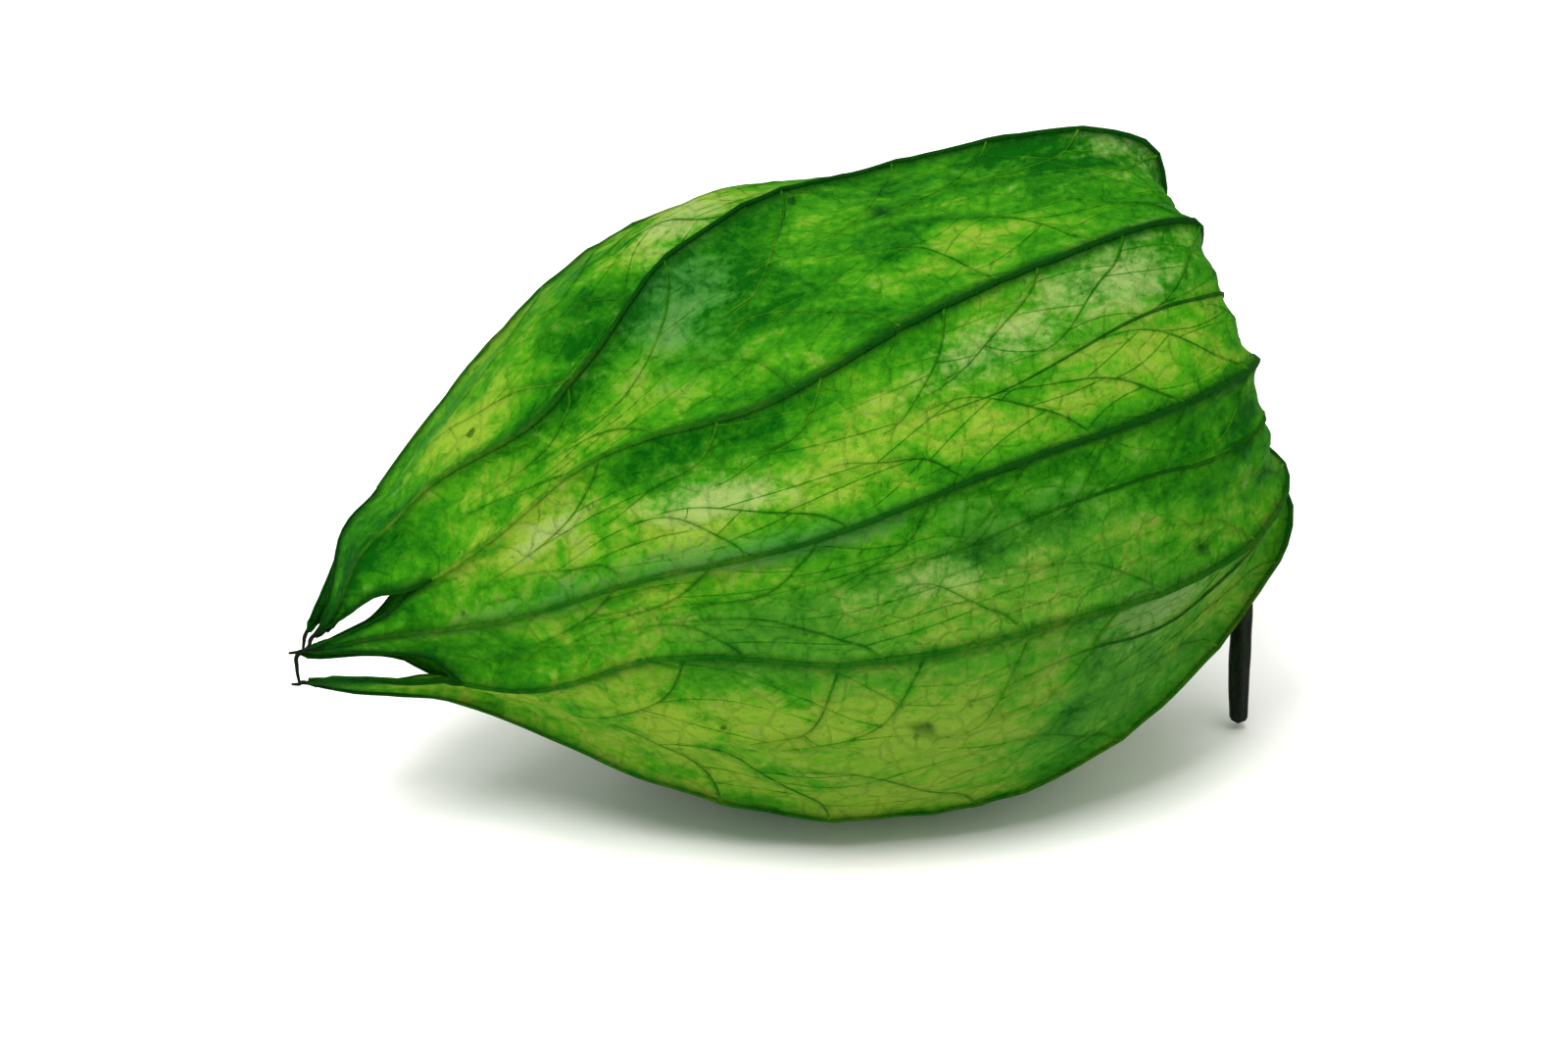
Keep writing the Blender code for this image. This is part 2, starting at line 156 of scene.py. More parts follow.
def spline_through(points, steps):
    """A smooth curve (Catmull-Rom) through the points, as a list of points."""
    ends = [2 * points[0] - points[1], *points, 2 * points[-1] - points[-2]]
    curve = []
    for a, b, c, d in zip(ends, ends[1:], ends[2:], ends[3:]):
        for step in range(steps):
            t = step / steps
            curve.append(
                0.5 * (2 * b + (c - a) * t + (2 * a - 5 * b + 4 * c - d) * t**2
                       + (3 * b - a - 3 * c + d) * t**3)
            )
    return [*curve, points[-1]]


outline_corners = [Vector((share * HUSK_LENGTH, radius * HUSK_RADIUS)) for share, radius in OUTLINE]
outline_points = spline_through(outline_corners, OUTLINE_STEPS)
travelled = [0.0]
for start, end in zip(outline_points, outline_points[1:]):
    travelled.append(travelled[-1] + (end - start).length)
full_travel = travelled[-1]
sinus_travel = travelled[OUTLINE_STEPS * [share for share, _ in OUTLINE].index(SINUS)]


def outline_at(travel):
    """(distance along the axis, radius) after this much travel along the outline."""
    i = min(max(bisect.bisect_right(travelled, travel) - 1, 0), len(outline_points) - 2)
    share = (travel - travelled[i]) / (travelled[i + 1] - travelled[i])
    return outline_points[i].lerp(outline_points[i + 1], min(1.0, max(0.0, share)))


def outline_normal(travel, step=0.4 * MM):
    """The way out of the outline here, square to it."""
    way = outline_at(min(travel + step, full_travel)) - outline_at(max(travel - step, 0.0))
    return Vector((-way.y, way.x)).normalized()


def rib_angle(rib, along):
    """The true angle of a rib, with how far it strays at this share of the length."""
    stray = math.radians(curve_value(STRAY_AT, RIB_STRAY[rib % RIBS], along))
    return FIRST_RIB + rib * RIB_TURN + stray


def skin_angle(place, along):
    """The true angle of a place given in ribs, such as 2.5 for midway between ribs 2 and 3."""
    rib = math.floor(place)
    share = place - rib
    return rib_angle(rib, along) * (1 - share) + rib_angle(rib + 1, along) * share


def skin_lift(place, travel, along, radius):
    """How far the skin stands out from the plain outline: ribs, bows, crease, dents, crinkles."""
    panel, share = int(place % RIBS), place % 1.0
    rounded = 1 - (1 - 2 * min(share, 1 - share)) ** 2
    bow = (SHOULDER_BOW[panel] * bump(*SHOULDER_SPAN, along)
           + PANEL_BOW[panel] * bump(*PANEL_SPAN, along))
    crease = 0.0
    if panel == CREASE_PANEL:
        crease = CREASE_DEPTH * bump(*CREASE_SPAN, along) * bump(*CREASE_WIDTH_SPAN, share)
    turn = FIRST_RIB + place * RIB_TURN
    here = Vector((math.cos(turn), math.sin(turn), along * HUSK_LENGTH / HUSK_RADIUS * DENT_STRETCH))
    dent = DENT * noise.noise(here * (HUSK_RADIUS / DENT_SIZE)) * smooth_step(0.0, 0.1, 1 - along)
    finer = here * (HUSK_RADIUS / CRINKLE_SIZE)
    crinkle = CRINKLE * noise.turbulence(finer, 3, False) * smooth_step(0.0, CRINKLE_RISE, travel)
    lift = smooth_step(0.0, PANEL_RISE, travel) * (dent - bow * rounded - crease)
    lift += crinkle - 0.5 * CRINKLE
    rib = round(place)
    beside = abs(place - rib) * RIB_TURN * radius
    height = MAIN_RIB_HEIGHT if rib % 2 == 0 else SLIT_RIB_HEIGHT
    lobe_share = max(0.0, travel - sinus_travel) / (full_travel - sinus_travel)
    fade = smooth_step(0.0, RIB_RISE, travel) * (1 - lobe_share)
    lift += height * math.exp(-((beside / RIB_SPREAD) ** 2)) * fade
    lobe = round(place / 2) % LOBES
    if lobe_share > 0.0:
        lift += LOBE_SWELL[lobe] * bump(*SWELL_SPAN, lobe_share)
        lift += TIP_FLARE[lobe] * smooth_step(*FLARE_SPAN, lobe_share)
    return lift


def skin_point(place, travel, proud=0.0):
    """The point of the skin at this place round the husk and this travel from the seat."""
    middle = outline_at(travel)
    slope = outline_normal(travel)
    along = middle.x / HUSK_LENGTH
    lift = skin_lift(place, travel, along, middle.y) + vein_ridge(place, travel) + proud
    angle = skin_angle(place, along)
    outward = FRONT * math.cos(angle) + UP * math.sin(angle)
    core = AXIS * (middle.x + lift * slope.x) + UP * curve_value(BEND_AT, BEND, along)
    return core + outward * (middle.y + lift * slope.y)


def lobe_half(lobe, share, side):
    """Half a lobe's width, in ribs, on one side of its midrib."""
    middle = outline_at(sinus_travel + share * (full_travel - sinus_travel))
    along = middle.x / HUSK_LENGTH
    next_rib = 2 * lobe + (1 if side > 0 else -1)
    room = abs(rib_angle(next_rib, along) - rib_angle(2 * lobe, along)) * middle.y
    slit_number = (lobe + (side > 0)) % LOBES
    slit = 0.5 * SLIT_WIDTHS[slit_number] * smooth_step(*SLIT_OPENING[slit_number], share)
    return (1 - min(slit / room, SLIT_SHARE)) * min(1.0, (1 - share) / POINT_SHARE)


# The veins: ribs, slit edges, long side veins, arched side veins and the links between the arches.
# Each is a route of (place in ribs, travel), its radii, and how dark it is at each point of the route
VEIN_SEED = 11
RIB_CORD_START = 1.2 * MM
RIB_CORD_RADII = (0.17 * MM, 0.11 * MM)
RIB_CORD_STEPS = 84
RIB_CORD_DARKNESS = 0.92
THREAD_FROM = 0.95
EDGE_CORD_RADIUS = 0.08 * MM
EDGE_CORD_STEPS = 14
EDGE_CORD_DARKNESS = 0.92
LONG_CORD_RADII = (0.17 * MM, 0.02 * MM)
LONG_CORD_STEPS = 6
LONG_CORD_DARKNESS = 0.62
ARCH_RADII = (0.085 * MM, 0.015 * MM)
ARCH_STEPS = 20
ARCH_DARKNESS = 0.24
ARCHES_START = 6.0 * MM
ARCHES_END = 9.0 * MM
LINK_RADIUS = 0.035 * MM
LINK_STEPS = 6
LINKS = 3
LINK_DARKNESS = 0.14

# What each arched vein draws from: start, reach in ribs, climb and gap in mm, sway in ribs, and phase
ARCH_START_DRAW = (0.0, 4.0)
ARCH_REACH_DRAW = (0.40, 0.52)
ARCH_CLIMB_DRAW = (5.0, 9.0)
ARCH_SWAY_DRAW = (0.01, 0.035)
ARCH_PHASE_DRAW = (0.0, 6.0)
ARCH_GAP_DRAW = (4.0, 7.5)
LINK_BOW_DRAW = (-0.04, 0.04)

# Where each rib's dye is darker, at the same shares of the length as its straying
RIB_DARKNESS = (
    (0.9, 0.9, 0.7, 0.6, 0.6, 1.0), (1.0, 1.0, 0.8, 0.3, 0.3, 0.6), (1.0, 1.0, 1.0, 0.7, 0.4, 1.0),
    (0.9, 0.8, 0.7, 0.6, 0.7, 1.0), (0.9, 0.7, 0.7, 0.6, 0.7, 1.0), (0.9, 0.8, 0.7, 0.6, 0.7, 1.0),
    (0.9, 0.7, 0.7, 0.7, 0.8, 1.0), (0.9, 0.8, 0.6, 0.6, 0.7, 1.0), (0.7, 0.5, 0.5, 0.6, 0.7, 1.0),
    (0.8, 0.6, 0.5, 0.5, 0.6, 0.8),
)

# The long side veins' points: place in ribs, travel in mm
LONG_VEINS = (
    ((0.52, 3.5), (0.50, 9.0), (0.50, 14.0), (0.52, 17.0), (0.50, 20.0), (0.44, 23.6), (0.41, 26.5),
     (0.45, 30.5)),
    ((-0.44, 6.0), (-0.40, 12.0), (-0.38, 17.5), (-0.32, 20.5), (-0.32, 24.5), (-0.34, 28.0),
     (-0.38, 31.5), (-0.36, 36.0)),
    ((-1.50, 8.0), (-1.44, 14.0), (-1.38, 19.0), (-1.30, 22.5), (-1.19, 26.0), (-1.20, 29.0),
     (-1.26, 33.0)),
    ((3.50, 5.0), (3.46, 12.0), (3.40, 20.0), (3.30, 27.0)),
    ((5.45, 6.0), (5.50, 13.0), (5.58, 21.0), (5.62, 28.0)),
    ((6.52, 5.0), (6.50, 12.0), (6.44, 19.0)),
)


def taper(radii, steps):
    return [radii[0] + (radii[1] - radii[0]) * step / steps for step in range(steps + 1)]


def fading(darkness, radii):
    """A vein's darkness along its route: it fades where the vein is thin."""
    return [darkness * min(1.0, radius / (0.6 * radii[0])) for radius in radii]


def rib_darkness(rib, along):
    """How dark a rib's cord is here, darkest towards the dry thread at a lobe's point."""
    darkness = RIB_CORD_DARKNESS * curve_value(STRAY_AT, RIB_DARKNESS[rib], along)
    return darkness + (1 - darkness) * smooth_step(THREAD_FROM, 1.0, along)


rib_veins = []
for rib in range(RIBS):
    end = full_travel if rib % 2 == 0 else sinus_travel
    travels = taper((RIB_CORD_START, end), RIB_CORD_STEPS)
    route = [(rib, travel) for travel in travels]
    darks = [rib_darkness(rib, outline_at(travel).x / HUSK_LENGTH) for travel in travels]
    rib_veins.append((route, taper(RIB_CORD_RADII, RIB_CORD_STEPS), darks))

edge_veins = []
for lobe in range(LOBES):
    for side in (-1, 1):
        shares = [step / EDGE_CORD_STEPS for step in range(EDGE_CORD_STEPS + 1)]
        route = [(2 * lobe + side * lobe_half(lobe, share, side),
                  sinus_travel + share * (full_travel - sinus_travel)) for share in shares]
        edge_veins.append((route, [EDGE_CORD_RADIUS] * len(route), [EDGE_CORD_DARKNESS] * len(route)))

long_veins = []
for corners in LONG_VEINS:
    points = spline_through([Vector((place, travel * MM)) for place, travel in corners], LONG_CORD_STEPS)
    radii = taper(LONG_CORD_RADII, len(points))[:-1]
    route = [(point.x, point.y) for point in points]
    long_veins.append((route, radii, fading(LONG_CORD_DARKNESS, radii)))

draw = random.Random(VEIN_SEED)
arch_veins = []
link_veins = []
for rib in range(RIBS):
    for side in (-1, 1):
        travel = ARCHES_START + draw.uniform(*ARCH_START_DRAW) * MM
        arches = []
        while travel < sinus_travel - ARCHES_END:
            reach = draw.uniform(*ARCH_REACH_DRAW)
            climb = draw.uniform(*ARCH_CLIMB_DRAW) * MM
            sway, phase = draw.uniform(*ARCH_SWAY_DRAW), draw.uniform(*ARCH_PHASE_DRAW)
            route = []
            for step in range(ARCH_STEPS + 1):
                share = step / ARCH_STEPS
                wave = sway * math.sin(9 * share + phase) * min(1.0, 4 * share)
                bent = reach * (1 - (1 - share) ** 1.7) + wave
                route.append((rib + side * bent, travel + climb * share**1.25))
            radii = taper(ARCH_RADII, ARCH_STEPS)
            arch_veins.append((route, radii, fading(ARCH_DARKNESS, radii)))
            arches.append(route)
            travel += draw.uniform(*ARCH_GAP_DRAW) * MM
        for first, second in zip(arches, arches[1:]):
            for link in range(LINKS):
                start = first[5 + 5 * link + draw.randint(-2, 2)]
                end = second[1 + 5 * link + draw.randint(0, 3)]
                bow = draw.uniform(*LINK_BOW_DRAW)
                route = []
                for step in range(LINK_STEPS + 1):
                    share = step / LINK_STEPS
                    bend = bow * math.sin(math.pi * share)
                    route.append((start[0] + (end[0] - start[0]) * share + bend,
                                  start[1] + (end[1] - start[1]) * share))
                link_veins.append((route, [LINK_RADIUS] * len(route), [LINK_DARKNESS] * len(route)))

# The tissue swells a little under the long and the arched veins
SWELL_HEIGHT = 0.09 * MM
SWELL_REACH = 0.45 * MM
SWELL_RISE = (4.0 * MM, 12.0 * MM)
PANEL_WIDTH = RIB_TURN * HUSK_RADIUS * 0.85

vein_places = [spot for route, _, _ in [*long_veins, *arch_veins] for spot in route]
vein_finder = kdtree.KDTree(3 * len(vein_places))
for place, travel in vein_places:
    for lap in (-RIBS, 0, RIBS):
        vein_finder.insert(((place + lap) * PANEL_WIDTH, travel, 0.0), 0)
vein_finder.balance()


def vein_distance(place, travel):
    return vein_finder.find((place * PANEL_WIDTH, travel, 0.0))[2]


def vein_ridge(place, travel):
    ridge = math.exp(-((vein_distance(place, travel) / SWELL_REACH) ** 2))
    return SWELL_HEIGHT * ridge * smooth_step(*SWELL_RISE, travel)


columns = LOBES * LOBE_COLUMNS
rows = BODY_ROWS + LOBE_ROWS
bpy.ops.mesh.primitive_grid_add(x_subdivisions=columns, y_subdivisions=rows, size=2)
husk = bpy.context.object
husk.name = "husk_skin"
skin = husk.data
skin_places = []
for vertex in skin.vertices:
    column = round((vertex.co.x + 1) / 2 * columns)
    row = round((vertex.co.y + 1) / 2 * rows)
    across = (column % LOBE_COLUMNS + 0.5) / LOBE_COLUMNS * 2 - 1
    lobe = column // LOBE_COLUMNS
    if row <= BODY_ROWS:
        travel = sinus_travel * row / BODY_ROWS
        place = 2 * lobe + across
    else:
        share = (row - BODY_ROWS) / LOBE_ROWS
        travel = sinus_travel + share * (full_travel - sinus_travel)
        place = 2 * lobe + across * lobe_half(lobe % LOBES, share, across)
    skin_places.append((place, travel, column, row))
    vertex.co = skin_point(place, travel)

# Patches of the dye, with painted fill light and painted shade among them, kept as marks on the skin
# that the material reads: place in ribs, share of the length, reach each way, strength
# Lighter dye; the patches at negative places, on the lower front panels, are painted fill light that
# brightens the husk's dimly lit underside
LIGHTER_DYE_AND_PAINTED_FILL = (
    (1.30, 0.20, 0.30, 0.08, 0.7), (1.20, 0.66, 0.25, 0.06, 0.4), (0.30, 0.10, 0.20, 0.10, 1.0),
    (0.32, 0.28, 0.22, 0.14, 1.0), (0.42, 0.52, 0.26, 0.12, 1.0), (0.46, 0.63, 0.22, 0.07, 1.0),
    (0.78, 0.76, 0.22, 0.05, 1.0), (2.40, 0.45, 0.28, 0.10, 1.0), (2.35, 0.76, 0.24, 0.05, 0.9),
    (-1.65, 0.62, 0.40, 0.14, 0.9), (-1.60, 0.46, 0.50, 0.12, 0.9), (-1.50, 0.86, 0.55, 0.06, 1.0),
    (-0.72, 0.42, 0.20, 0.12, 0.8), (-0.25, 0.55, 0.18, 0.20, 0.6), (-1.30, 0.75, 0.30, 0.06, 0.8),
    (1.50, 0.65, 0.16, 0.05, 0.4),
    (4.40, 0.40, 0.50, 0.18, 0.9), (5.60, 0.60, 0.40, 0.14, 0.8), (3.60, 0.70, 0.40, 0.12, 0.7),
    (6.40, 0.30, 0.40, 0.14, 0.9), (3.40, 0.25, 0.40, 0.12, 0.5), (7.40, 0.20, 0.30, 0.10, 0.6),
)
OLIVE = (
    (-0.60, 0.36, 0.40, 0.20, 1.0), (-1.50, 0.38, 0.60, 0.24, 0.8), (-1.60, 0.10, 0.50, 0.12, 0.8),
    (0.70, 0.15, 0.40, 0.14, 0.8), (-0.75, 0.60, 0.30, 0.12, 0.5), (3.00, 0.30, 0.60, 0.20, 0.8),
    (4.50, 0.70, 0.60, 0.15, 0.9), (5.80, 0.20, 0.60, 0.20, 0.9), (7.00, 0.70, 0.60, 0.15, 0.7),
)
# Darker dye; the patches beside rib 2 are painted shade in its crease, and the one at 0.92 of the length
# is painted shade on the top lobe's side that turns away from the light
DARKER_DYE_AND_PAINTED_SHADE = (
    (1.62, 0.44, 0.22, 0.04, 1.0), (1.80, 0.08, 0.30, 0.08, 1.0), (2.02, 0.67, 0.14, 0.07, 1.0),
    (2.22, 0.64, 0.20, 0.06, 1.0), (2.05, 0.92, 0.50, 0.06, 1.0), (2.00, 0.57, 0.12, 0.10, 0.8),
    (0.92, 0.50, 0.14, 0.09, 0.8), (0.82, 0.62, 0.20, 0.05, 0.8), (-0.35, 0.04, 0.30, 0.05, 0.7),
    (1.05, 0.28, 0.10, 0.10, 0.5),
    (0.60, 0.92, 0.90, 0.06, 0.5), (-1.90, 0.16, 0.35, 0.08, 0.4), (-0.65, 0.89, 0.30, 0.05, 0.8),
    (1.52, 0.27, 0.14, 0.04, 0.6), (2.20, 0.20, 0.30, 0.12, 0.6), (-0.38, 0.30, 0.22, 0.10, 0.55),
    (1.48, 0.48, 0.14, 0.07, 0.5), (0.75, 0.55, 0.14, 0.05, 0.5),
    (-1.75, 0.32, 0.30, 0.05, 0.5), (4.90, 0.20, 0.40, 0.10, 0.7), (5.10, 0.75, 0.40, 0.10, 0.7),
    (7.10, 0.50, 0.50, 0.14, 0.6),
)
# Bluish dye; the patch on rib 0 at 0.62 of the length is painted shade in the groove beside that rib
BLUISH = (
    (1.80, 0.53, 0.18, 0.06, 1.0), (-0.04, 0.45, 0.10, 0.10, 0.7), (0.05, 0.62, 0.14, 0.10, 0.9),
    (-1.10, 0.18, 0.20, 0.08, 0.7), (-0.30, 0.25, 0.12, 0.14, 0.3), (5.90, 0.35, 0.25, 0.10, 0.7),
    (3.10, 0.50, 0.22, 0.12, 0.6), (1.45, 0.55, 0.20, 0.05, 0.4), (0.10, 0.80, 0.30, 0.06, 0.6),
)
PALE = (
    (0.80, 0.10, 0.20, 0.07, 0.7), (0.68, 0.26, 0.16, 0.08, 0.7), (0.46, 0.58, 0.16, 0.07, 1.0),
    (0.72, 0.75, 0.14, 0.04, 0.9), (2.35, 0.47, 0.20, 0.05, 1.0), (-1.15, 0.17, 0.16, 0.07, 0.8),
    (-0.55, 0.40, 0.14, 0.08, 0.5), (1.75, 0.54, 0.12, 0.04, 0.7), (2.30, 0.02, 0.60, 0.04, 0.6),
    (4.30, 0.55, 0.25, 0.08, 0.6), (6.30, 0.50, 0.25, 0.08, 0.6),
)

# Small dead spots: place in ribs, travel and size in mm
DEAD_SPOTS = ((-1.36, 35.3, 0.28), (-0.86, 19.3, 0.32), (1.64, 27.6, 0.36))
DEAD_SPOT_DARKNESS = 1.6

# How far the dark dye reaches from a rib and from a slit's edge, and where patches and tips start
RIB_SHADE_REACH = 0.31 * MM
EDGE_SHADE_REACH = 0.35 * MM
PATCHES_FROM = 8.0 * MM
POINTS_FROM = sinus_travel - 6.0 * MM


def way_round(place, middle):
    """How far one place is from another round the husk, in ribs, the shorter way."""
    return (place - middle + RIBS / 2) % RIBS - RIBS / 2


def stain(patches, place, along):
    """How strongly these patches mark the skin here."""
    total = 0.0
    for middle, share, half_width, half_length, strength in patches:
        off = way_round(place, middle)
        reach = (off / half_width) ** 2 + ((along - share) / half_length) ** 2
        total += strength * math.exp(-0.7 * reach)
    return min(total, 1.0)


def rib_shade(place, along, radius):
    """How dark the skin is beside the nearest rib."""
    rib = round(place)
    gap = abs(place - rib) * RIB_TURN * radius
    darkness = curve_value(STRAY_AT, RIB_DARKNESS[rib % RIBS], along)
    return darkness * math.exp(-((gap / RIB_SHADE_REACH) ** 2))


def spot_shade(place, travel, radius):
    """How dark the nearest dead spot makes the skin here."""
    darkest = 0.0
    for middle, spot_travel, size in DEAD_SPOTS:
        across = way_round(place, middle) * RIB_TURN * radius
        away = (across**2 + (travel - spot_travel * MM) ** 2) / (size * MM) ** 2
        darkest = max(darkest, DEAD_SPOT_DARKNESS * math.exp(-away))
    return min(darkest, 1.0)


PATCHES = {"lighter_dye_and_painted_fill": LIGHTER_DYE_AND_PAINTED_FILL, "olive": OLIVE, "darker_dye_and_painted_shade": DARKER_DYE_AND_PAINTED_SHADE, "bluish": BLUISH, "pale": PALE}
skin_values = {name: [] for name in [*PATCHES, "beside_vein", "rib_shade", "to_point"]}
for place, travel, column, row in skin_places:
    middle = outline_at(travel)
    along = middle.x / HUSK_LENGTH
    for name, patches in PATCHES.items():
        skin_values[name].append(stain(patches, place, along) if travel > PATCHES_FROM else 0.0)
    skin_values["beside_vein"].append(min(vein_distance(place, travel) / MM, 3.0))
    shade = max(rib_shade(place, along, middle.y), spot_shade(place, travel, middle.y))
    if row > BODY_ROWS:
        lobe = column // LOBE_COLUMNS
        half = lobe_half(lobe % LOBES, (row - BODY_ROWS) / LOBE_ROWS, place - 2 * lobe)
        to_edge = (half - abs(place - 2 * lobe)) * RIB_TURN * middle.y
        shade = max(shade, math.exp(-((to_edge / EDGE_SHADE_REACH) ** 2)))
    skin_values["rib_shade"].append(shade)
    skin_values["to_point"].append(smooth_step(POINTS_FROM, full_travel, travel))
for name, values in skin_values.items():
    skin.attributes.new(name, "FLOAT", "POINT").data.foreach_set("value", values)
skin.attributes.new("cord", "FLOAT", "POINT")

# The grid is cut open between the lobes, and its other edges are joined
bpy.ops.object.mode_set(mode="EDIT")
bpy.ops.mesh.select_mode(type="FACE")
bpy.ops.mesh.select_all(action="DESELECT")
bpy.ops.object.mode_set(mode="OBJECT")
for face in skin.polygons:
    face_columns = {skin_places[v][2] for v in face.vertices}
    face_row = min(skin_places[v][3] for v in face.vertices)
    crosses = max(face_columns) % LOBE_COLUMNS == 0 and max(face_columns) > 0
    face.select = crosses and face_row >= BODY_ROWS
bpy.ops.object.mode_set(mode="EDIT")
bpy.ops.mesh.delete(type="FACE")
bpy.ops.mesh.select_all(action="SELECT")
bpy.ops.mesh.remove_doubles(threshold=0.01 * MM)
bpy.ops.mesh.normals_make_consistent(inside=False)
bpy.ops.object.mode_set(mode="OBJECT")

# It lies on the surface on a small pressed spot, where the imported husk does
low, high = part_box("husk")
xs, ys, zs = zip(*(vertex.co for vertex in skin.vertices))
seat_shift = Vector((
    (low[0] + high[0] - min(xs) - max(xs)) / 2,
    (low[1] + high[1] - min(ys) - max(ys)) / 2,
    -min(zs) - FLAT_DEPTH,
))
for vertex in skin.vertices:
    vertex.co += seat_shift
    vertex.co.z = max(vertex.co.z, 0.0)

wall = husk.modifiers.new("wall", "SOLIDIFY")
wall.thickness = SKIN_WALL
wall.offset = -1.0
wall.use_even_offset = False
bpy.ops.object.modifier_apply(modifier="wall")
bpy.ops.object.shade_smooth()

# The husk's veins, as cords of tougher and darker tissue on its skin. Each is a curve with a round
# section that tapers towards its end, set into the skin by a share of its radius and joined to it.
# Each lobe's midrib ends in a dry thread: its two next points in mm, measured from the lobe's point
THREADS = (
    ((-0.45, -0.10, 0.03), (-0.90, -0.15, 0.08)), ((-0.20, -0.15, -0.28), (-0.43, -0.30, -0.55)),
    ((-0.16, -0.10, -0.45), (-0.25, -0.20, -0.90)), ((-0.20, -0.15, -0.70), (-0.10, -0.20, -1.50)),
    ((-0.45, -0.05, 0.02), (-0.80, -0.10, 0.10)),
)
THREAD_RADII = (0.12 * MM, 0.065 * MM)
THREAD_STEPS = 6


def dry_thread(points, lobe):
    """The points of the thread that goes on from a midrib's points."""
    tip = points[-1]
    corners = [points[-4], tip, *(tip + Vector(offset) * MM for offset in THREADS[lobe])]
    return spline_through(corners, THREAD_STEPS)[THREAD_STEPS + 1:]


def add_cords(name, veins, sides, sunk, threads=False):
    """Adds these veins as one mesh, and marks how dark each point of it is."""
    curve = bpy.data.curves.new(name, "CURVE")
    curve.dimensions = "3D"
    curve.bevel_depth = 1.0
    curve.bevel_resolution = sides
    curve.use_fill_caps = True
    middles = []
    darkness = []
    for number, (route, radii, darks) in enumerate(veins):
        points = [skin_point(place, travel, -sunk * radius) + seat_shift
                  for (place, travel), radius in zip(route, radii)]
        if threads and number % 2 == 0:
            thread = dry_thread(points, number // 2)
            points = points + thread
            radii = radii + taper(THREAD_RADII, len(thread))[:-1]
            darks = darks + [1.0] * len(thread)
        spline = curve.splines.new("POLY")
        spline.points.add(len(points) - 1)
        for point, middle, radius in zip(spline.points, points, radii):
            point.co = (*middle, 1.0)
            point.radius = radius
        middles += points
        darkness += darks
    cords = bpy.data.objects.new(name, curve)
    bpy.context.collection.objects.link(cords)
    bpy.ops.object.select_all(action="DESELECT")
    cords.select_set(True)
    bpy.context.view_layer.objects.active = cords
    bpy.ops.object.convert(target="MESH")
    cords = bpy.context.object
    for vertex in cords.data.vertices:
        vertex.co.z = max(vertex.co.z, 0.0)
    finder = kdtree.KDTree(len(middles))
    for number, middle in enumerate(middles):
        finder.insert(middle, number)
    finder.balance()
    values = [darkness[finder.find(vertex.co)[1]] for vertex in cords.data.vertices]
    cords.data.attributes.new("cord", "FLOAT", "POINT").data.foreach_set("value", values)
    bpy.ops.object.shade_smooth()
    return cords


cord_sets = [
    add_cords("rib_cords", rib_veins, 1, 0.0, threads=True),
    add_cords("edge_cords", edge_veins, 0, 0.0),
    add_cords("long_cords", long_veins, 0, 0.2),
    add_cords("arch_cords", arch_veins, 0, 0.3),
    add_cords("link_cords", link_veins, 0, 0.2),
]
bpy.ops.object.select_all(action="DESELECT")
for cords in cord_sets:
    cords.select_set(True)
husk.select_set(True)
bpy.context.view_layer.objects.active = husk
bpy.ops.object.join()
bpy.ops.object.select_all(action="DESELECT")


def add_node(tree, kind, inputs=None, **settings):
    """Adds a node, and fills its inputs with plain values or with other nodes' outputs."""
    new = tree.nodes.new(kind)
    for name, value in settings.items():
        setattr(new, name, value)
    for key, value in (inputs or {}).items():
        if isinstance(value, bpy.types.NodeSocket):
            tree.links.new(value, new.inputs[key])
        else:
            new.inputs[key].default_value = value
    return new


def math_node(tree, operation, *values):
    return add_node(tree, "ShaderNodeMath", dict(enumerate(values)), operation=operation).outputs[0]


def fade_node(tree, value, low, high, start=0.0, end=1.0):
    """start where the value is at or below low, end at or above high, smooth between."""
    return add_node(
        tree, "ShaderNodeMapRange",
        {"Value": value, "From Min": low, "From Max": high, "To Min": start, "To Max": end},
        interpolation_type="SMOOTHSTEP").outputs["Result"]


def mix_node(tree, share, first, second):
    return add_node(tree, "ShaderNodeMix", {0: share, 6: first, 7: second}, data_type="RGBA").outputs[2]


def noise_node(tree, place, size, detail=3.0, roughness=0.55, twist=0.0):
    return add_node(tree, "ShaderNodeTexNoise",
                    {"Vector": place, "Scale": 1 / size, "Detail": detail, "Roughness": roughness,
                     "Distortion": twist}).outputs[0]


def new_dye_group():
    """Dye taken up unevenly by dry plant tissue: broad blotches, small mottles and dark specks."""
    group = bpy.data.node_groups.new("Uneven dye", "ShaderNodeTree")
    group.interface.new_socket("Place", in_out="INPUT", socket_type="NodeSocketVector")
    group.interface.new_socket("Stretch", in_out="INPUT", socket_type="NodeSocketVector")
    for name in ("Blotch", "Mottle", "Speck", "Grain"):
        group.interface.new_socket(name, in_out="OUTPUT", socket_type="NodeSocketFloat")
    source = group.nodes.new("NodeGroupInput")
    target = group.nodes.new("NodeGroupOutput")
    drawn = add_node(group, "ShaderNodeVectorMath",
                     {0: source.outputs["Place"], 1: source.outputs["Stretch"]},
                     operation="MULTIPLY").outputs[0]
    blotch = noise_node(group, drawn, 7.0 * MM, 4.0, 0.6, 0.6)
    mottle = noise_node(group, drawn, 1.5 * MM, 4.0, 0.65, 0.4)
    specks = noise_node(group, source.outputs["Place"], 0.5 * MM, 3.0, 0.6, 0.2)
    grain = noise_node(group, source.outputs["Place"], 0.16 * MM, 2.0, 0.5)
    group.links.new(blotch, target.inputs["Blotch"])
    group.links.new(mottle, target.inputs["Mottle"])
    group.links.new(fade_node(group, specks, 0.60, 0.74), target.inputs["Speck"])
    group.links.new(grain, target.inputs["Grain"])
    return group


dye_group = new_dye_group()

